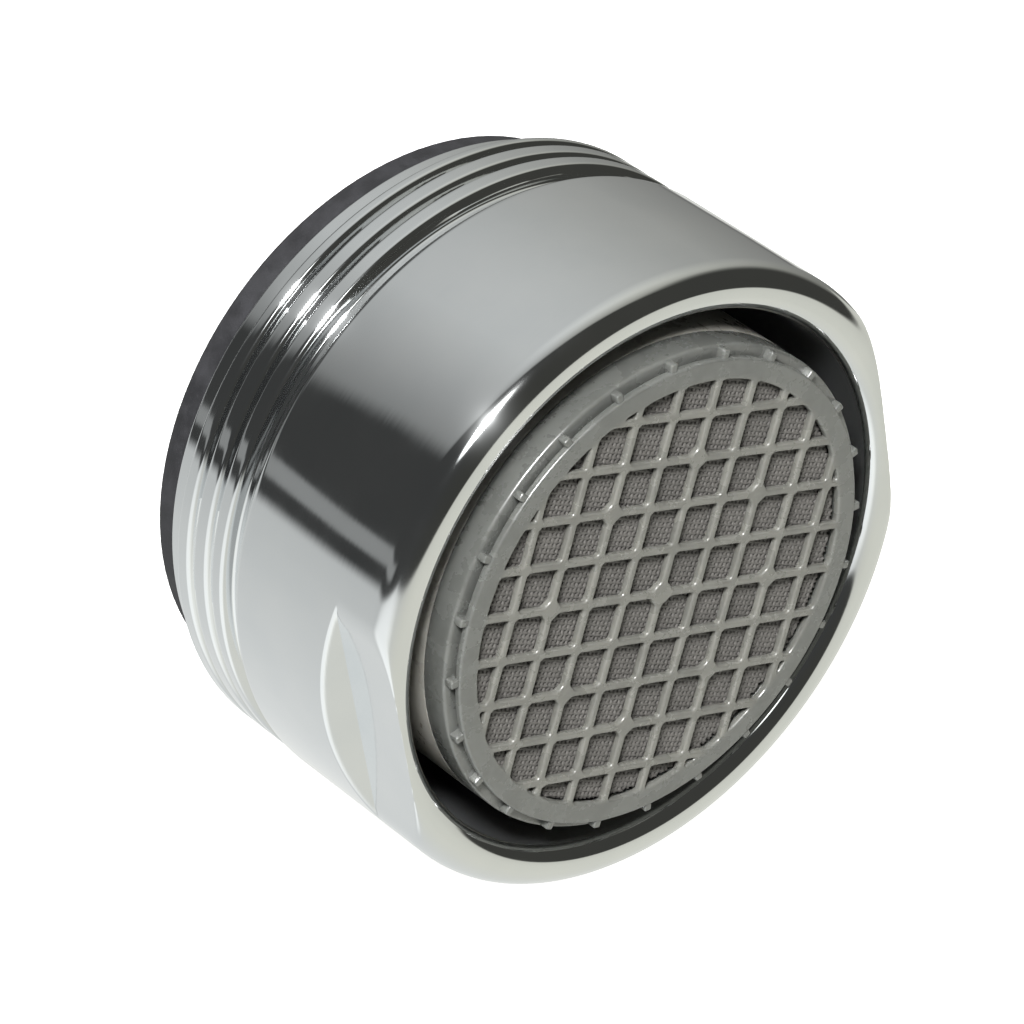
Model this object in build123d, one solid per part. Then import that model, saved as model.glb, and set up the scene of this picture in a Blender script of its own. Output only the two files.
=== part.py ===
from build123d import *
import os
from math import hypot

os.makedirs("parts", exist_ok=True)

# Clearances between pieces, in millimetres
strainer_fit = 0.15
flange_fit = 0.10
plate_fit = 0.10
screen_fit = 0.10

# Overall sizes; the washer's sealing face is at height zero and the outlet is at the top
body_r = 12.0
housing_len = 12.5
grid_proud = 0.6

# Housing, a turned shell with an outside thread at the inlet end
thread_relief = 0.05
thread_len = 3.9
thread_lead_h = 1.3
thread_lead_w = 0.65
undercut_depth = 0.7
undercut_w = 0.6
body_edge = 0.25
mouth_wall = 1.7
rim_land = 0.2
rim_share = 0.567
ledge_t = 1.3
inlet_step = 0.25

# Spanner flats with a sloping run-out
across_flats = 22.0
flat_height = 2.6
flat_runout = 0.47

# Gaps and walls from the mouth of the housing inwards
mouth_gap = 1.0
ledge_gap = 0.4
sleeve_wall = 0.95
frame_wall = 0.6
insert_turn = -27.0

# Washer, lying on the inlet end
washer_t = 0.93
washer_w = 2.6
washer_inset = 0.3

# Strainer
strainer_t = 0.6
strainer_margin = 0.3
strainer_pitch = 2.6
strainer_gap = 1.7

# Sleeve
flange_t = 1.7
jet_seat_w = 0.5
window_count = 8
window_h = 1.2
window_w = 2.2
window_rise = 0.4
step_w = 0.6

# Jet plate
jet_plate_t = 1.2
jet_count = 24
jet_margin = 0.3
jet_len = 1.6
jet_w = 0.5

# Screens and spacers
screen_t = 0.3
screen_margin = 0.35
spacer_h = 1.8
spacer_wall = 0.6
fine_pitch = 1.9
fine_gap = 1.1
coarse_pitch = 2.7
coarse_gap = 1.8

# Outlet grid
lattice_pitch = 1.725
lattice_bar = 0.28
lattice_t = 0.3
lattice_margin = 0.2
collar_drop = 0.4
gusset_count = 24
gusset_w = 0.3
gusset_reach = 0.3
gusset_drop = 0.05
centre_boss_r = 0.45
boss_r = 0.38
boss_cells = ((3, 0), (0, 3), (-3, 0), (0, -3), (2, 2), (-2, 2), (-2, -2), (2, -2))

# Smallest share of a full opening that is kept at the edge of a round field
least_share = 0.18
# Depth to which a rib or floor is rooted in the wall that carries it
root = 0.15

# Radii that follow from the sizes above
thread_crest_r = body_r - thread_relief
thread_end_r = thread_crest_r - thread_lead_w
undercut_r = thread_crest_r - undercut_depth
mouth_r = body_r - mouth_wall
rim_round = rim_share * (mouth_wall - rim_land)
rim_lip = mouth_wall - rim_land - rim_round
inlet_bore_r = mouth_r + inlet_step
collar_r = mouth_r - mouth_gap
ledge_r = collar_r + ledge_gap
insert_bore_r = collar_r - sleeve_wall
frame_r = insert_bore_r + frame_wall
chamber_r = insert_bore_r - step_w
screen_r = insert_bore_r - screen_fit
jet_recess_r = insert_bore_r + jet_seat_w
washer_r = thread_end_r - washer_inset
washer_bore_r = washer_r - washer_w

# Heights that follow from the sizes above
rim_z = washer_t + housing_len
thread_top_z = washer_t + thread_len
body_z = thread_top_z + undercut_w
flange_z = washer_t + strainer_t
ledge_z = flange_z + flange_t
mouth_floor_z = ledge_z + ledge_t
jet_seat_z = flange_z + jet_plate_t
grid_top_z = rim_z + grid_proud
lattice_z = grid_top_z - lattice_t
collar_top_z = grid_top_z - collar_drop
lower_screen_z = lattice_z - screen_t
lower_spacer_z = lower_screen_z - spacer_h
middle_screen_z = lower_spacer_z - screen_t
upper_spacer_z = middle_screen_z - spacer_h
upper_screen_z = upper_spacer_z - screen_t
collar_z = lower_spacer_z + spacer_h / 2


def turned(points, rounds=()):
    """Turn a closed outline of radius and height about the upright axis."""
    face = make_face(Polyline(*points, close=True))
    for r, z, radius in rounds:
        corner = face.vertices().sort_by_distance((r, z, 0))[0]
        face = fillet(corner, radius)
    return revolve(Plane.XZ * face, Axis.Z, 360)


def square_gaps(pitch, gap, field_r):
    """Square openings with a crossing of bars on the axis, cut off at a round field."""
    count = 2 * int(field_r / pitch + 1)
    field = Circle(field_r)
    kept = []
    for place in GridLocations(pitch, pitch, count, count):
        x = abs(place.position.X)
        y = abs(place.position.Y)
        if hypot(x - gap / 2, y - gap / 2) >= field_r:
            continue
        square = place * Rectangle(gap, gap)
        if hypot(x + gap / 2, y + gap / 2) > field_r:
            square = square & field
        if square and square.area > least_share * gap * gap:
            kept.append(square)
    return kept


def ring(inner_r, outer_r, low_z, high_z):
    return turned([(inner_r, low_z), (outer_r, low_z), (outer_r, high_z), (inner_r, high_z)])


def make_housing():
    outline = [
        (thread_end_r, washer_t),
        (thread_crest_r, washer_t + thread_lead_h),
        (thread_crest_r, thread_top_z),
        (undercut_r, thread_top_z),
        (undercut_r, body_z),
        (body_r - body_edge, body_z),
        (body_r, body_z + body_edge),
        (body_r, rim_z),
        (mouth_r, rim_z),
        (mouth_r, mouth_floor_z),
        (ledge_r, mouth_floor_z),
        (ledge_r, ledge_z),
        (inlet_bore_r, ledge_z),
        (inlet_bore_r, washer_t),
    ]
    shell = turned(outline, [(body_r, rim_z, rim_round), (mouth_r, rim_z, rim_lip)])
    half = across_flats / 2
    step = [
        (half, 2 * rim_z),
        (half, rim_z - flat_height),
        (half + body_r, rim_z - flat_height - flat_runout * body_r),
        (half + body_r, 2 * rim_z),
    ]
    cutter = extrude(Plane.XZ * make_face(Polyline(*step, close=True)), body_r, both=True)
    for turn in (0, 180):
        shell = shell - Rot(0, 0, turn) * cutter
    return shell


def make_washer():
    return ring(washer_bore_r, washer_r, 0, washer_t)


def make_strainer():
    gaps = square_gaps(strainer_pitch, strainer_gap, washer_bore_r - strainer_margin)
    sieve = Circle(inlet_bore_r - strainer_fit) - gaps
    return Pos(0, 0, washer_t) * extrude(sieve, strainer_t)


def make_jet_plate():
    reach = chamber_r - jet_margin - jet_len / 2
    jets = [place * Rectangle(jet_len, jet_w) for place in PolarLocations(reach, jet_count)]
    plate = Circle(jet_recess_r - plate_fit) - jets
    return Pos(0, 0, flange_z) * extrude(plate, jet_plate_t)


def make_sleeve():
    flange_r = inlet_bore_r - flange_fit
    outline = [
        (jet_recess_r, flange_z),
        (flange_r, flange_z),
        (flange_r, ledge_z),
        (collar_r, ledge_z),
        (collar_r, collar_z),
        (insert_bore_r, collar_z),
        (insert_bore_r, upper_screen_z),
        (chamber_r, upper_screen_z),
        (chamber_r, jet_seat_z),
        (jet_recess_r, jet_seat_z),
    ]
    middle = Pos((chamber_r + collar_r) / 2, 0, mouth_floor_z + window_rise + window_h / 2)
    window = middle * Box(2 * (collar_r - chamber_r), window_w, window_h)
    windows = [Rot(0, 0, k * 360 / window_count) * window for k in range(window_count)]
    return turned(outline) - windows


def make_screen(low_z, pitch, gap):
    weave = Circle(screen_r) - square_gaps(pitch, gap, screen_r - screen_margin)
    return Pos(0, 0, low_z) * extrude(weave, screen_t)


def make_spacer(low_z):
    return ring(screen_r - spacer_wall, screen_r, low_z, low_z + spacer_h)


def make_outlet_grid():
    field_r = insert_bore_r - lattice_margin
    plate = Circle(frame_r) - square_gaps(lattice_pitch, lattice_pitch - lattice_bar, field_r)
    bosses = [Pos(i * lattice_pitch, j * lattice_pitch) * Circle(boss_r) for i, j in boss_cells]
    plate = plate + Circle(centre_boss_r) + bosses
    lattice = Pos(0, 0, lattice_z) * extrude(plate, lattice_t)
    outline = [
        (insert_bore_r, collar_z),
        (collar_r, collar_z),
        (collar_r, collar_top_z),
        (frame_r, collar_top_z),
        (frame_r, grid_top_z),
        (insert_bore_r, grid_top_z),
    ]
    low = collar_top_z - root
    high = grid_top_z - gusset_drop
    start = frame_r - root
    end = frame_r + gusset_reach
    gusset = Pos((start + end) / 2, 0, (low + high) / 2) * Box(end - start, gusset_w, high - low)
    gussets = [Rot(0, 0, k * 360 / gusset_count) * gusset for k in range(gusset_count)]
    return turned(outline) + lattice + gussets


def clocked(shape):
    """Turn an insert piece to its place against the spanner flats."""
    return Rot(0, 0, insert_turn) * shape


nodes = {
    "housing": make_housing(),
    "sealing_washer": make_washer(),
    "inlet_strainer": clocked(make_strainer()),
    "jet_plate": clocked(make_jet_plate()),
    "insert_sleeve": clocked(make_sleeve()),
    "upper_screen": clocked(make_screen(upper_screen_z, coarse_pitch, coarse_gap)),
    "upper_spacer": make_spacer(upper_spacer_z),
    "middle_screen": clocked(make_screen(middle_screen_z, coarse_pitch, coarse_gap)),
    "lower_spacer": make_spacer(lower_spacer_z),
    "lower_screen": clocked(make_screen(lower_screen_z, fine_pitch, fine_gap)),
    "outlet_grid": clocked(make_outlet_grid()),
}
for name, shape in nodes.items():
    shape.label = name
    export_step(shape, "parts/" + name + ".step")
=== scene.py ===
from math import acos, atan2, cos, pi, radians, sin, sqrt, tan

import bmesh
import bpy
import numpy as np
from mathutils import Matrix, Vector


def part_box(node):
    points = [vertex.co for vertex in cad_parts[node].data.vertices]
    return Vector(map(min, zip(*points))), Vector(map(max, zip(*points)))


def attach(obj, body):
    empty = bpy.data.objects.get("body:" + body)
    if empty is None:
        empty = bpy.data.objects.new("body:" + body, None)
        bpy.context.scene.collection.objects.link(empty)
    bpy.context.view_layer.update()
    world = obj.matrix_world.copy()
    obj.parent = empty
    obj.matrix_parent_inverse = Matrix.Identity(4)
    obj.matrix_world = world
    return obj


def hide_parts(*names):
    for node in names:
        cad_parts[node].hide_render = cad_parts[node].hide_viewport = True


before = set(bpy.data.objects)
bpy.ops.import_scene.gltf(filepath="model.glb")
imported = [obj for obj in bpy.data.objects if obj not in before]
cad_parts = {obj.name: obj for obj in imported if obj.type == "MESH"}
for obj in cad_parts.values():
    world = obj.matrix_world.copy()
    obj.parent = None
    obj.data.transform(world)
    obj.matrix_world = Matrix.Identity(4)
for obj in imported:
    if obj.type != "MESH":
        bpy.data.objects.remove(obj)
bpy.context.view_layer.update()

scene = bpy.context.scene
MM = 0.001

# Housing, in millimetres from the axis and from the floor
housing_low, housing_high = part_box("housing")
body_r = housing_high.y / MM
inlet_z = housing_low.z / MM
rim_z = housing_high.z / MM
thread_crest_r = body_r - 0.05
end_r = body_r - 0.95
pilot_r = body_r - 0.55
pilot_low_z = inlet_z + 0.4
pilot_high_z = inlet_z + 1.1
thread_low_z = inlet_z + 1.36
thread_top_z = inlet_z + 3.9
undercut_r = thread_crest_r - 0.45
body_z = thread_top_z + 0.6
body_edge = 0.42
mouth_r = body_r - 1.7
rim_round = 0.85
rim_lip = 0.65
ledge_r = 9.7
ledge_z = inlet_z + 2.3
mouth_floor_z = ledge_z + 1.3
inlet_bore_r = mouth_r + 0.25
edge_round = 0.1
fine_round = 0.05

# Spanner flats, square to X, with a sloping run-out
flat_half = 11.0
flat_low_z = rim_z - 2.6
flat_runout = 0.47
flat_edge_blend = 0.2

# Thread, one right-hand helix of broad ridges and narrow grooves that runs out over a plain pilot
thread_pitch = 1.0
thread_depth = 0.3
thread_edge_blend = 0.04
thread_start_round = 0.12
crest_height = 0.57
groove_sharpness = 5.0
shoulder_z = thread_top_z - 0.1
shoulder_round = 0.2
groove_floor_z = thread_top_z + 0.1
groove_floor_round = 0.12

# Mesh of the housing: columns across one flat and between the flats, and rows on the thread and the flats
flat_columns = 150
side_columns = 76
flat_margin = radians(3.0)
flat_rows_low_z = flat_low_z - 0.7
row_step = 0.05

# Outlet grid
grid_low, grid_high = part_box("outlet_grid")
grid_top_z = grid_high.z / MM
collar_z = grid_low.z / MM
collar_r = 9.3
frame_r = 8.95
insert_bore_r = 8.35
lattice_t = 0.3
lattice_pitch = 1.725
lattice_bar = 0.28
lattice_field_r = insert_bore_r - 0.2
lattice_z = grid_top_z - lattice_t
collar_top_z = grid_top_z - 0.4
gusset_count = 24
gusset_w = 0.3
gusset_root = 0.15
gusset_round = 0.07
gusset_end_r = frame_r + 0.3
gusset_top_z = grid_top_z - 0.05
collar_bore_r = insert_bore_r + 0.01
collar_round = 0.12
collar_bore_round = 0.02
insert_turn = radians(-27.0)
centre_boss_r = 0.45
boss_r = 0.38
boss_crossings = ((3, 0), (0, 3), (-3, 0), (0, -3), (2, 2), (-2, 2), (-2, -2), (2, -2))
least_share = 0.03
bar_round = 0.09
cell_corner_blend = 0.09
cell_points = 44
cell_samples = 31
search_steps = 40
round_columns = 180

# Woven screen behind the lattice
screen_low, screen_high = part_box("lower_screen")
screen_r = screen_high.y / MM
wire_pitch = 0.2
wire_r = 0.098
wire_lift = 0.018
wire_sides = 4
screen_mid_z = screen_high.z / MM - wire_lift - wire_r
weave_turn = radians(-9.0)

# Points closer than this are one point
weld = 0.0002


def shaded_piece(name, shape, material, sharp_degrees):
    """A smooth-shaded object from a working mesh, with edges sharper than an angle kept."""
    mesh = bpy.data.meshes.new(name)
    bmesh.ops.recalc_face_normals(shape, faces=shape.faces)
    shape.to_mesh(mesh)
    shape.free()
    mesh.polygons.foreach_set("use_smooth", np.ones(len(mesh.polygons), bool))
    mesh.set_sharp_from_angle(angle=radians(sharp_degrees))
    mesh.materials.append(material)
    piece = bpy.data.objects.new(name, mesh)
    scene.collection.objects.link(piece)
    return piece


def welded_mesh(vertices, faces):
    """A working mesh from points in millimetres, welded where points coincide."""
    mesh = bpy.data.meshes.new("points")
    mesh.from_pydata((np.asarray(vertices) * MM).tolist(), [], faces)
    shape = bmesh.new()
    shape.from_mesh(mesh)
    bpy.data.meshes.remove(mesh)
    bmesh.ops.remove_doubles(shape, verts=shape.verts, dist=weld * MM)
    bmesh.ops.dissolve_degenerate(shape, edges=shape.edges, dist=weld * MM)
    return shape


def dress(piece, node):
    """Let a piece stand for a solid."""
    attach(piece, "root")
    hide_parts(node)


def smooth_min(a, b, blend):
    """The smaller of two lengths, with the corner between them rounded over a blend length."""
    share = np.clip(0.5 + 0.5 * (b - a) / blend, 0.0, 1.0)
    return b + (a - b) * share - blend * share * (1.0 - share)


def smooth_max(a, b, blend):
    """The larger of two lengths, rounded in the same way."""
    return -smooth_min(-a, -b, blend)


def rounded(corners):
    """An open outline whose inner corners (radius, height, arc) are turned on their own arcs."""
    points = [corners[0][:2]]
    for last, (r, z, arc), following in zip(corners, corners[1:], corners[2:]):
        here = Vector((r, z))
        back = (Vector(last[:2]) - here).normalized()
        ahead = (Vector(following[:2]) - here).normalized()
        half = acos(max(-1.0, min(1.0, back.dot(ahead)))) / 2
        centre = here + (back + ahead).normalized() * arc / sin(half)
        start = here + back * arc / tan(half) - centre
        end = here + ahead * arc / tan(half) - centre
        first = atan2(start.y, start.x)
        sweep = (atan2(end.y, end.x) - first + pi) % (2 * pi) - pi
        steps = 3 + int(12 * arc)
        for k in range(steps + 1):
            angle = first + sweep * k / steps
            points.append((centre.x + arc * cos(angle), centre.y + arc * sin(angle)))
    points.append(corners[-1][:2])
    return points


def closed_outline(corners):
    """A closed outline whose corners are all turned on their own arcs."""
    return rounded(corners[-1:] + corners + corners[:1])[1:-1]


def column_angles():
    """Angles round the housing, closer together across the spanner flats."""
    half = acos(flat_half / body_r) + flat_margin
    across = np.linspace(-half, half, flat_columns, endpoint=False)
    between = np.linspace(half, pi - half, side_columns, endpoint=False)
    turn = np.concatenate((across, between, across + pi, between + pi))
    return np.append(turn, turn[0] + 2 * pi)


def flat_limit(angles, z):
    """Distance from the axis at which a spanner flat or its run-out cuts each ray."""
    reach = flat_half + max(0.0, flat_low_z - z) / flat_runout
    return reach / np.maximum(np.abs(np.cos(angles)), 1e-3)


def thread_limit(angles, z):
    """Distance from the axis at which the helical groove cuts each ray."""
    if z >= body_z:
        return np.full_like(angles, 2 * body_r)
    turn = (z - crest_height) / thread_pitch - angles / (2 * pi)
    groove = (0.5 - 0.5 * np.cos(2 * pi * turn)) ** groove_sharpness
    return thread_crest_r - thread_depth * groove


def housing_rows():
    """Places (radius, height) round the closed outline, close together on the thread and the flats."""
    corners = [
        (end_r, inlet_z, fine_round),
        (pilot_r, pilot_low_z, edge_round),
        (pilot_r, pilot_high_z, edge_round),
        (thread_crest_r, thread_low_z, thread_start_round),
        (thread_crest_r, shoulder_z, shoulder_round),
        (undercut_r, groove_floor_z, groove_floor_round),
        (undercut_r, body_z, edge_round),
        (body_r, body_z, body_edge),
        (body_r, rim_z, rim_round),
        (mouth_r, rim_z, rim_lip),
        (mouth_r, mouth_floor_z, edge_round),
        (ledge_r, mouth_floor_z, edge_round),
        (ledge_r, ledge_z, edge_round),
        (inlet_bore_r, ledge_z, edge_round),
        (inlet_bore_r, inlet_z, edge_round),
    ]
    outline = closed_outline(corners)
    rows = []
    for (r, z), (next_r, next_z) in zip(outline, outline[1:] + outline[:1]):
        levels = [z]
        if min(r, next_r) > pilot_r - 0.01 and next_z < body_z:
            levels += list(np.arange(z + row_step, next_z, row_step))
        if min(r, next_r) > body_r - 1e-6:
            levels += list(np.arange(flat_rows_low_z, next_z, row_step))
        for level in levels:
            share = (level - z) / (next_z - z) if next_z > z else 0.0
            rows.append((r + (next_r - r) * share, level))
    return rows


def make_housing(material):
    """The turned shell, cut back by the thread's groove and the spanner flats."""
    angles = column_angles()
    columns = len(angles)
    rows = []
    for r, z in housing_rows():
        reach = smooth_min(r, thread_limit(angles, z), thread_edge_blend)
        reach = smooth_min(reach, flat_limit(angles, z), flat_edge_blend)
        rows.append(np.stack((reach * np.cos(angles), reach * np.sin(angles), np.full_like(angles, z)), 1))
    faces = []
    for row in range(len(rows)):
        below = row * columns
        above = (row + 1) % len(rows) * columns
        for k in range(columns - 1):
            faces.append((below + k, below + k + 1, above + k + 1, above + k))
    shape = welded_mesh(np.concatenate(rows), faces)
    piece = shaded_piece("housing_shell", shape, material, sharp_degrees=35.0)
    dress(piece, "housing")


def cell_depth(x, y, cell):
    """How far a point is outside a lattice opening; less than zero is inside it."""
    half = (lattice_pitch - lattice_bar) / 2
    depth = smooth_max(np.abs(x - cell[0]) - half, np.abs(y - cell[1]) - half, cell_corner_blend)
    depth = smooth_max(depth, np.hypot(x, y) - lattice_field_r, cell_corner_blend)
    depth = smooth_max(depth, centre_boss_r - np.hypot(x, y), cell_corner_blend)
    for i, j in boss_crossings:
        from_boss = np.hypot(x - i * lattice_pitch, y - j * lattice_pitch)
        depth = smooth_max(depth, boss_r - from_boss, cell_corner_blend)
    return depth


def cell_outline(cell):
    """Points round one lattice opening, or none where the frame leaves too little of it."""
    half = (lattice_pitch - lattice_bar) / 2
    side = np.linspace(-half, half, cell_samples)
    x, y = np.meshgrid(cell[0] + side, cell[1] + side)
    depth = cell_depth(x, y, cell)
    if np.mean(np.hypot(x, y) < lattice_field_r) < least_share:
        return None
    deepest = np.unravel_index(np.argmin(depth), depth.shape)
    middle = np.array((x[deepest], y[deepest]))
    angles = np.arange(cell_points) * 2 * pi / cell_points
    ways = np.stack((np.cos(angles), np.sin(angles)), 1)
    near = np.zeros(cell_points)
    far = np.full(cell_points, 2 * lattice_pitch)
    for _ in range(search_steps):
        reach = (near + far) / 2
        x, y = (middle + reach[:, None] * ways).T
        inside = cell_depth(x, y, cell) < 0
        near = np.where(inside, reach, near)
        far = np.where(inside, far, reach)
    return middle + near[:, None] * ways


def add_loop(curve, points):
    """Add one closed loop of points in millimetres to a flat curve."""
    spline = curve.splines.new("POLY")
    spline.points.add(len(points) - 1)
    flat = np.zeros((len(points), 4))
    flat[:, :2] = points * MM
    flat[:, 3] = 1.0
    spline.points.foreach_set("co", flat.ravel())
    spline.use_cyclic_u = True


def lattice_mesh():
    """The pierced plate with rounded bars, as a mesh in metres."""
    curve = bpy.data.curves.new("lattice_outline", "CURVE")
    curve.dimensions = "2D"
    curve.fill_mode = "BOTH"
    curve.extrude = (lattice_t / 2 - bar_round) * MM
    curve.bevel_depth = bar_round * MM
    curve.bevel_resolution = 3
    curve.offset = -bar_round * MM
    turn = np.arange(round_columns) * 2 * pi / round_columns
    add_loop(curve, frame_r * np.stack((np.cos(turn), np.sin(turn)), 1))
    reach = int(insert_bore_r / lattice_pitch) + 1
    for i in range(-reach, reach):
        for j in range(-reach, reach):
            points = cell_outline(((i + 0.5) * lattice_pitch, (j + 0.5) * lattice_pitch))
            if points is not None:
                add_loop(curve, points)
    holder = bpy.data.objects.new("lattice_outline", curve)
    scene.collection.objects.link(holder)
    bpy.context.view_layer.update()
    evaluated = holder.evaluated_get(bpy.context.evaluated_depsgraph_get())
    mesh = bpy.data.meshes.new_from_object(evaluated)
    bpy.data.objects.remove(holder)
    mesh.transform(Matrix.Translation((0, 0, (lattice_z + lattice_t / 2) * MM)))
    return mesh


def add_ring(shape, corners):
    """Turn a closed outline about the axis into a working mesh."""
    turn = [2 * pi * k / round_columns for k in range(round_columns)]
    rows = []
    for r, z in closed_outline(corners):
        rows.append([shape.verts.new((r * cos(a) * MM, r * sin(a) * MM, z * MM)) for a in turn])
    for row, following in zip(rows, rows[1:] + rows[:1]):
        for k in range(round_columns):
            m = (k + 1) % round_columns
            shape.faces.new((row[k], row[m], following[m], following[k]))


def add_gusset(shape, angle):
    """One small rib between the frame and the collar, with rounded edges."""
    start = frame_r - gusset_root
    low = collar_top_z - gusset_root
    size = Vector((gusset_end_r - start, gusset_w, gusset_top_z - low)) * MM
    middle = Vector(((gusset_end_r + start) / 2, 0, (gusset_top_z + low) / 2)) * MM
    place = Matrix.Rotation(angle, 4, "Z") @ Matrix.Translation(middle) @ Matrix.Diagonal(size.to_4d())
    made = bmesh.ops.create_cube(shape, size=1.0, matrix=place)
    edges = list({edge for vertex in made["verts"] for edge in vertex.link_edges})
    bmesh.ops.bevel(shape, geom=edges, offset=gusset_round * MM, segments=3, profile=0.5, affect="EDGES")


def make_grid(material):
    """The lattice with its collar and gussets, turned to its place in the housing."""
    shape = bmesh.new()
    shape.from_mesh(lattice_mesh())
    bmesh.ops.remove_doubles(shape, verts=shape.verts, dist=weld * MM)
    add_ring(shape, [
        (collar_bore_r, collar_z, fine_round),
        (collar_r, collar_z, fine_round),
        (collar_r, collar_top_z, collar_round),
        (collar_bore_r, collar_top_z, collar_bore_round),
    ])
    for k in range(gusset_count):
        add_gusset(shape, 2 * pi * k / gusset_count)
    bmesh.ops.rotate(shape, verts=shape.verts, matrix=Matrix.Rotation(insert_turn, 3, "Z"))
    piece = shaded_piece("grid_moulding", shape, material, sharp_degrees=38.0)
    dress(piece, "outlet_grid")


def make_wire_cloth(material):
    """Two crossing sets of round wires, each wire passing over and under in turn."""
    ring = np.arange(wire_sides) * 2 * pi / wire_sides
    vertices = []
    faces = []
    count = int(screen_r / wire_pitch)
    for across in (0, 1):
        for k in range(-count, count + 1):
            offset = k * wire_pitch
            length = sqrt(max(0.0, (screen_r - wire_r) ** 2 - offset ** 2))
            if length < wire_pitch:
                continue
            along = np.linspace(-length, length, 2 + 2 * int(2 * length / wire_pitch))
            lift = wire_lift * np.cos(pi * (along / wire_pitch + k + across))
            first = len(vertices)
            for place, height in zip(along, lift):
                for angle in ring:
                    side = offset + wire_r * cos(angle)
                    level = screen_mid_z + height + wire_r * sin(angle)
                    vertices.append((place, side, level) if across else (side, place, level))
            for step in range(len(along) - 1):
                for s in range(wire_sides):
                    a = first + step * wire_sides + s
                    b = first + step * wire_sides + (s + 1) % wire_sides
                    faces.append((a, b, b + wire_sides, a + wire_sides))
            last = first + (len(along) - 1) * wire_sides
            faces.append(tuple(range(first, first + wire_sides)))
            faces.append(tuple(range(last, last + wire_sides)))
    turn = np.array(Matrix.Rotation(insert_turn + weave_turn, 3, "Z"))
    shape = welded_mesh(np.array(vertices) @ turn.T, faces)
    piece = shaded_piece("wire_cloth", shape, material, sharp_degrees=120.0)
    dress(piece, "lower_screen")


class Shader:
    """A node tree that is built up one node at a time."""

    def __init__(self, tree):
        self.tree = tree
        tree.nodes.clear()

    def node(self, kind, inputs=None, **settings):
        """Add a node with its settings and inputs."""
        made = self.tree.nodes.new(kind)
        for key, value in settings.items():
            setattr(made, key, value)
        for key, value in (inputs or {}).items():
            self.put(made.inputs[key], value)
        return made

    def put(self, socket, value):
        """Link a socket to another one, or set it to a constant."""
        if isinstance(value, bpy.types.NodeSocket):
            self.tree.links.new(value, socket)
        else:
            socket.default_value = value

    def math(self, operation, a, b=0.0):
        return self.node("ShaderNodeMath", {0: a, 1: b}, operation=operation).outputs[0]

    def ramp(self, value, low, high, bottom=0.0, top=1.0, smooth=True):
        """Carry the range from low to high over to the range from bottom to top."""
        kind = "SMOOTHSTEP" if smooth else "LINEAR"
        inputs = {"Value": value, "From Min": low, "From Max": high, "To Min": bottom, "To Max": top}
        return self.node("ShaderNodeMapRange", inputs, interpolation_type=kind).outputs[0]

    def noise(self, coordinates, scale, detail=3.0, roughness=0.5):
        inputs = {"Vector": coordinates, "Scale": scale, "Detail": detail, "Roughness": roughness}
        return self.node("ShaderNodeTexNoise", inputs).outputs["Fac"]

    def from_axis(self, place):
        """Distance of a place from the upright axis."""
        inputs = {0: place, 1: (1, 1, 0)}
        level = self.node("ShaderNodeVectorMath", inputs, operation="MULTIPLY").outputs[0]
        return self.node("ShaderNodeVectorMath", {0: level}, operation="LENGTH").outputs["Value"]

    def mix(self, share, a, b):
        made = self.node("ShaderNodeMix", {0: share, 6: a, 7: b}, data_type="RGBA")
        return made.outputs[2]


def new_material(name):
    """An empty material and the builder of its nodes."""
    material = bpy.data.materials.new(name)
    material.use_nodes = True
    return material, Shader(material.node_tree)


def finish_material(shader, surface):
    """Join the last node to the material's output."""
    out = shader.node("ShaderNodeOutputMaterial")
    shader.tree.links.new(surface.outputs[0], out.inputs["Surface"])


def chrome_material():
    """Bright plating with faint turning lines and a little haze, painted darker inside the mouth as shade.
    """
    material, s = new_material("chrome_plate")
    place = s.node("ShaderNodeTexCoord").outputs["Object"]
    haze = s.noise(place, 420.0, 4.0)
    stretched = s.node("ShaderNodeMapping", {"Vector": place, "Scale": (60.0, 60.0, 9000.0)}).outputs[0]
    lines = s.noise(stretched, 1.0, 2.0)
    colour = s.mix(haze, (0.60, 0.62, 0.63, 1), (0.68, 0.69, 0.69, 1))
    rough = s.ramp(haze, 0.3, 0.75, 0.05, 0.11)
    # Painted shade: the bore inside the mouth is given a much darker colour, and it is also made rougher
    inside = s.ramp(s.from_axis(place), (mouth_r + 0.06) * MM, (mouth_r + 0.02) * MM)
    colour = s.mix(inside, colour, (0.28, 0.29, 0.30, 1))
    rough = s.math("MAXIMUM", rough, s.math("MULTIPLY", inside, 0.4))
    bump = s.node("ShaderNodeBump", {"Height": lines, "Strength": 0.012, "Distance": 0.0001}).outputs[0]
    body = s.node("ShaderNodeBsdfPrincipled", {
        "Base Color": colour, "Metallic": 1.0, "Roughness": rough, "Normal": bump})
    finish_material(s, body)
    return material


def plastic_material(name, dark, light, roughness, scatter):
    """Moulded plastic with soft mottling, a fine surface grain and light passing into it."""
    material, s = new_material(name)
    place = s.node("ShaderNodeTexCoord").outputs["Object"]
    mottle = s.noise(place, 700.0, 5.0, 0.6)
    grain = s.noise(place, 9000.0, 3.0)
    colour = s.mix(s.ramp(mottle, 0.3, 0.7), dark, light)
    rough = s.ramp(mottle, 0.3, 0.7, roughness - 0.06, roughness + 0.08)
    bump = s.node("ShaderNodeBump", {"Height": grain, "Strength": 0.12, "Distance": 0.00004}).outputs[0]
    body = s.node("ShaderNodeBsdfPrincipled", {
        "Base Color": colour, "Roughness": rough, "Normal": bump, "IOR": 1.5,
        "Subsurface Weight": scatter, "Subsurface Radius": (1.0, 0.9, 0.75), "Subsurface Scale": 0.0003})
    finish_material(s, body)
    return material


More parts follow.
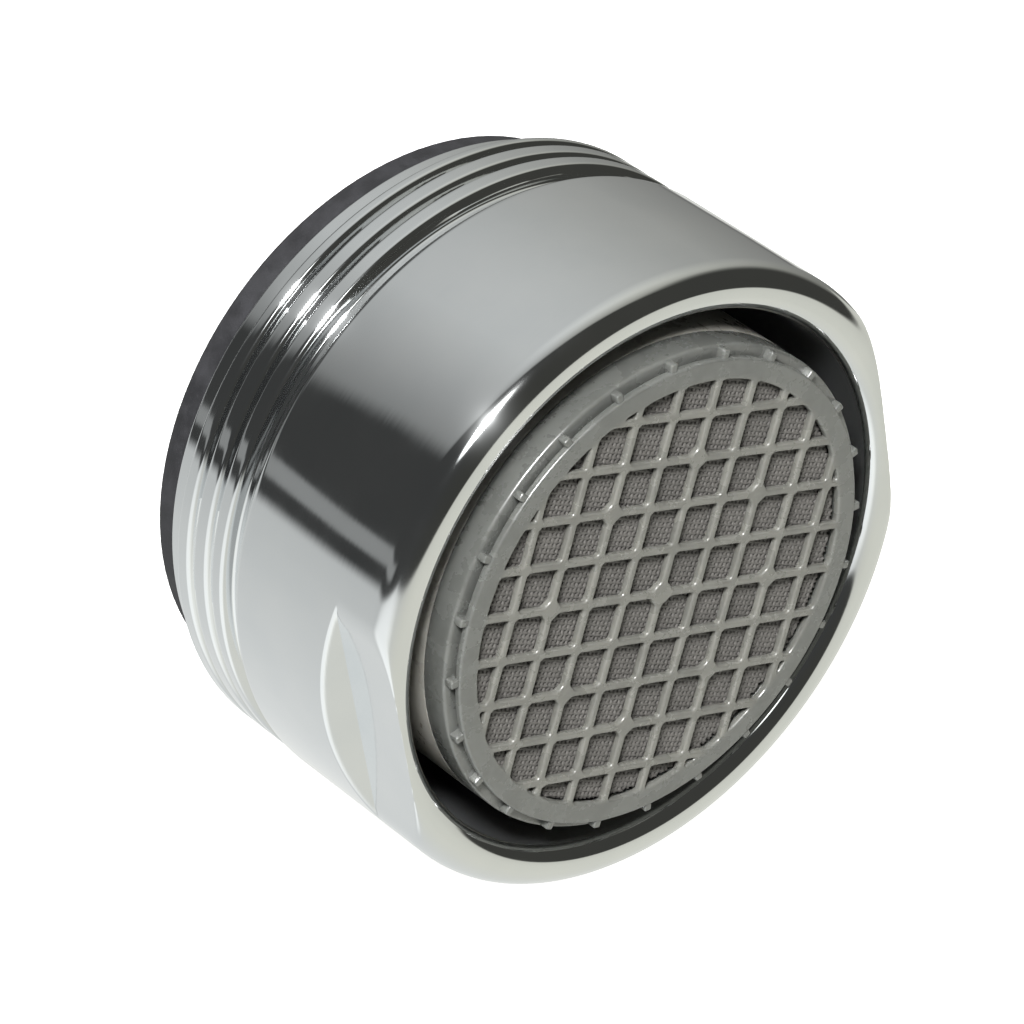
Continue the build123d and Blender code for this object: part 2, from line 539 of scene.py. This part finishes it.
def grid_material():
    """Translucent grey moulding with painted light and shade: paler in the thin lattice and darker in the
    thick ring, for light through the plastic, and painted darker the deeper it lies.
    """
    material, s = new_material("grid_moulding")
    place = s.node("ShaderNodeTexCoord").outputs["Object"]
    height = s.node("ShaderNodeSeparateXYZ", {0: place}).outputs["Z"]
    # Painted light and shade: the thin lattice paler and the thick ring darker, for light through the
    # plastic
    ring_shade = s.ramp(s.from_axis(place), (lattice_field_r - 0.2) * MM, (lattice_field_r + 0.2) * MM)
    mottle = s.noise(place, 900.0, 5.0, 0.6)
    # Painted shade: the colour grows darker the deeper the moulding lies in the mouth
    depth = s.ramp(height, (collar_z + 0.3) * MM, (grid_top_z - 0.05) * MM, 0.6, 1.0, smooth=False)
    tone = s.math("MULTIPLY", depth, s.ramp(mottle, 0.3, 0.7, 0.75, 1.1))
    # The lighter colour carries the painted shade of the ring, and the tone carries the painted shade of
    # depth
    light = s.mix(ring_shade, (0.182, 0.181, 0.163, 1), (0.132, 0.136, 0.127, 1))
    colour = s.mix(tone, (0.04, 0.042, 0.038, 1), light)
    rough = s.ramp(mottle, 0.3, 0.7, 0.22, 0.32)
    body = s.node("ShaderNodeBsdfPrincipled", {
        "Base Color": colour, "Roughness": rough, "IOR": 1.5, "Specular IOR Level": 0.8,
        "Subsurface Weight": 0.3, "Subsurface Radius": (1.0, 0.95, 0.85), "Subsurface Scale": 0.0002})
    finish_material(s, body)
    return material


def wire_material():
    """Drawn steel wire, dulled and slightly brown from use."""
    material, s = new_material("steel_wire_cloth")
    place = s.node("ShaderNodeTexCoord").outputs["Object"]
    stain = s.noise(place, 500.0, 5.0, 0.6)
    scuff = s.noise(place, 6000.0, 2.0)
    colour = s.mix(s.ramp(stain, 0.3, 0.7), (0.125, 0.120, 0.112, 1), (0.160, 0.153, 0.143, 1))
    rough = s.ramp(scuff, 0.3, 0.7, 0.35, 0.6)
    bump = s.node("ShaderNodeBump", {"Height": scuff, "Strength": 0.2, "Distance": 0.00002}).outputs[0]
    body = s.node("ShaderNodeBsdfPrincipled", {
        "Base Color": colour, "Metallic": 0.2, "Roughness": rough, "Normal": bump})
    finish_material(s, body)
    return material


def rubber_material():
    """Matt black rubber with a dusty bloom."""
    material, s = new_material("black_rubber")
    place = s.node("ShaderNodeTexCoord").outputs["Object"]
    bloom = s.noise(place, 900.0, 6.0, 0.65)
    grain = s.noise(place, 12000.0, 2.0)
    colour = s.mix(s.ramp(bloom, 0.35, 0.75), (0.007, 0.007, 0.009, 1), (0.022, 0.022, 0.026, 1))
    rough = s.ramp(bloom, 0.3, 0.7, 0.6, 0.85)
    bump = s.node("ShaderNodeBump", {"Height": grain, "Strength": 0.3, "Distance": 0.00004}).outputs[0]
    body = s.node("ShaderNodeBsdfPrincipled", {"Base Color": colour, "Roughness": rough, "Normal": bump})
    finish_material(s, body)
    return material


def paint_node(name, material):
    """Give a solid that is shown as it is its own finish."""
    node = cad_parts[name]
    if node.material_slots:
        node.material_slots[0].material = material
    else:
        node.data.materials.append(material)


# Camera, lamps, floor and directions of the room, in the part's own frame and in metres
camera_place = Vector((81.914, -126.091, 128.778)) * MM
camera_right = Vector((-0.76076, 0.12606, 0.63668))
camera_up = Vector((-0.49486, -0.74738, -0.44333))
camera_back = Vector((0.41995, -0.65233, 0.63095))
camera_lens = 194.0
table_tilt = radians(30.0)
lamp_aim = (-8.0, 46.5)
key_distance = 0.5
key_radius = 0.06
key_radiance = 135.0
glint_distance = 0.4
glint_radius = 0.032
glint_radiance = 420.0
floor_radius = 2.0
room_up = camera_up * cos(table_tilt) + camera_back * sin(table_tilt)
room_front = camera_back * cos(table_tilt) - camera_up * sin(table_tilt)


def room_direction(azimuth, elevation):
    """A direction in the part's frame; azimuth runs from the front to the right, in degrees."""
    a = radians(azimuth)
    e = radians(elevation)
    level = camera_right * sin(a) + room_front * cos(a)
    return (level * cos(e) + room_up * sin(e)).normalized()


def make_world():
    """Soft surroundings: a white table, a pale wall and ceiling behind, a dark room in front."""
    world = bpy.data.worlds.new("studio")
    scene.world = world
    world.use_nodes = True
    s = Shader(world.node_tree)
    way = s.node("ShaderNodeTexCoord").outputs["Generated"]

    def along(direction):
        inputs = {0: way, 1: direction}
        return s.node("ShaderNodeVectorMath", inputs, operation="DOT_PRODUCT").outputs["Value"]

    up = along(room_up)
    front = along(room_front)
    right = along(camera_right)

    # The table, which ends lower to the front right and far behind, with a brighter patch at the near left
    front_right = along(room_direction(65.0, 0.0))
    dip = s.ramp(front_right, 0.1, 0.9, 0.0, 0.30, smooth=False)
    far = s.ramp(along(room_direction(172.0, -5.0)), 0.90, 0.97, 0.0, 0.26)
    height = s.math("ADD", s.math("ADD", up, dip), far)
    table = s.ramp(height, -0.03, -0.10)
    table_light = s.ramp(up, -0.05, -0.70, 0.70, 0.92, smooth=False)
    near = s.ramp(along(room_direction(-34.0, -36.0)), 0.72, 0.92, 0.0, 0.45)
    table_light = s.math("ADD", table_light, near)

    # The wall and ceiling behind, brighter upwards, dark at the far right and in one corner
    lean = s.math("SUBTRACT", up, front)
    edge = s.ramp(lean, 0.60, 0.72, 0.0, 0.5)
    slope = s.ramp(lean, 0.70, 1.20, 0.0, 0.5, smooth=False)
    corner = s.ramp(along(room_direction(-138.0, 3.0)), 0.80, 0.92, 1.0, 0.08)
    behind = s.math("MULTIPLY", s.math("ADD", edge, slope), s.ramp(right, 0.82, 0.60))
    behind = s.math("MULTIPLY", behind, corner)
    climb = s.math("MULTIPLY_ADD", s.math("MULTIPLY", up, up), 0.48)
    climb.node.inputs[2].default_value = 0.36
    ceiling = s.math("MULTIPLY", behind, climb)

    # A pale stripe on the left and a glow round the lamp
    left = s.ramp(right, -0.70, -0.85)
    band = s.math("MULTIPLY", s.ramp(up, 0.02, 0.05), s.ramp(up, 0.14, 0.11))
    stripe = s.math("MULTIPLY", s.math("MULTIPLY", left, band), 0.30)
    halo = s.ramp(along(room_direction(*lamp_aim)), cos(radians(14.0)), cos(radians(7.0)), 0.0, 4.0)
    room = s.math("ADD", s.math("ADD", ceiling, stripe), s.math("ADD", halo, 0.06))
    above = s.math("MULTIPLY", room, s.math("SUBTRACT", 1.0, table))
    light = s.math("ADD", above, s.math("MULTIPLY", table, table_light))
    tint = s.mix(s.ramp(right, -0.4, 0.8), (0.98, 1.0, 0.99, 1), (1.0, 1.0, 0.90, 1))

    # The camera itself sees plain white
    surroundings = s.node("ShaderNodeBackground", {"Color": tint, "Strength": light})
    plain = s.node("ShaderNodeBackground", {"Color": (1, 1, 1, 1), "Strength": 1.0})
    seen = s.node("ShaderNodeLightPath").outputs["Is Camera Ray"]
    both = s.node("ShaderNodeMixShader", {0: seen, 1: surroundings.outputs[0], 2: plain.outputs[0]})
    out = s.node("ShaderNodeOutputWorld")
    s.tree.links.new(both.outputs[0], out.inputs["Surface"])


def make_lamp(name, distance, radius, radiance):
    """A round lamp that faces the part."""
    data = bpy.data.lights.new(name, "AREA")
    data.shape = "DISK"
    data.size = 2 * radius
    data.energy = radiance * pi * pi * radius * radius
    lamp = bpy.data.objects.new(name, data)
    centre = Vector((0, 0, grid_top_z * MM / 2))
    away = room_direction(*lamp_aim)
    lamp.location = centre + away * distance
    lamp.rotation_euler = away.to_track_quat("Z", "Y").to_euler()
    scene.collection.objects.link(lamp)
    return lamp


def make_floor():
    """A pale round floor under the part, seen from above only."""
    material, s = new_material("pale_floor")
    place = s.node("ShaderNodeTexCoord").outputs["Object"]
    tone = s.mix(s.noise(place, 3.0), (0.86, 0.86, 0.86, 1), (0.90, 0.90, 0.90, 1))
    matt = s.node("ShaderNodeBsdfDiffuse", {"Color": tone})
    glow = s.node("ShaderNodeEmission", {"Color": (1, 1, 1, 1), "Strength": 0.72})
    lit = s.node("ShaderNodeAddShader", {0: matt.outputs[0], 1: glow.outputs[0]})
    clear = s.node("ShaderNodeBsdfTransparent")
    under = s.node("ShaderNodeNewGeometry").outputs["Backfacing"]
    both = s.node("ShaderNodeMixShader", {0: under, 1: lit.outputs[0], 2: clear.outputs[0]})
    finish_material(s, both)
    mesh = bpy.data.meshes.new("floor")
    shape = bmesh.new()
    bmesh.ops.create_circle(shape, cap_ends=True, segments=96, radius=floor_radius)
    shape.to_mesh(mesh)
    shape.free()
    mesh.materials.append(material)
    floor = bpy.data.objects.new("floor", mesh)
    floor.visible_glossy = False
    floor.visible_diffuse = False
    scene.collection.objects.link(floor)


def make_camera():
    """The camera of the photograph, solved from its outline."""
    data = bpy.data.cameras.new("camera")
    data.lens = camera_lens
    data.sensor_width = 36.0
    data.clip_start = 0.005
    data.clip_end = 20.0
    camera = bpy.data.objects.new("camera", data)
    turn = Matrix((camera_right, camera_up, camera_back)).transposed().to_4x4()
    camera.matrix_world = Matrix.Translation(camera_place) @ turn
    scene.collection.objects.link(camera)
    scene.camera = camera


def make_bloom():
    """A soft glow round the brightest glints, as a camera's lens gives."""
    scene.use_nodes = True
    tree = scene.node_tree
    tree.nodes.clear()
    layers = tree.nodes.new("CompositorNodeRLayers")
    glare = tree.nodes.new("CompositorNodeGlare")
    glare.glare_type = "BLOOM"
    glare.inputs["Threshold"].default_value = 2.0
    glare.inputs["Strength"].default_value = 0.4
    glare.inputs["Size"].default_value = 0.06
    out = tree.nodes.new("CompositorNodeComposite")
    tree.links.new(layers.outputs["Image"], glare.inputs["Image"])
    tree.links.new(glare.outputs["Image"], out.inputs["Image"])


grey_plastic = plastic_material(
    "grey_moulding", (0.30, 0.29, 0.26, 1), (0.38, 0.37, 0.335, 1), roughness=0.3, scatter=0.25)
white_plastic = plastic_material(
    "white_moulding", (0.70, 0.70, 0.68, 1), (0.78, 0.78, 0.76, 1), roughness=0.45, scatter=0.2)
steel = wire_material()
make_housing(chrome_material())
make_grid(grid_material())
make_wire_cloth(steel)
paint_node("insert_sleeve", grey_plastic)
paint_node("sealing_washer", rubber_material())
for name in ("inlet_strainer", "jet_plate", "upper_spacer", "lower_spacer"):
    paint_node(name, white_plastic)
for name in ("upper_screen", "middle_screen"):
    paint_node(name, steel)
make_world()
key_lamp = make_lamp("key_lamp", key_distance, key_radius, key_radiance)
key_lamp.visible_glossy = False
glint_lamp = make_lamp("glint_lamp", glint_distance, glint_radius, glint_radiance)
glint_lamp.visible_diffuse = False
make_floor()
make_camera()
make_bloom()
scene.view_settings.view_transform = "Standard"
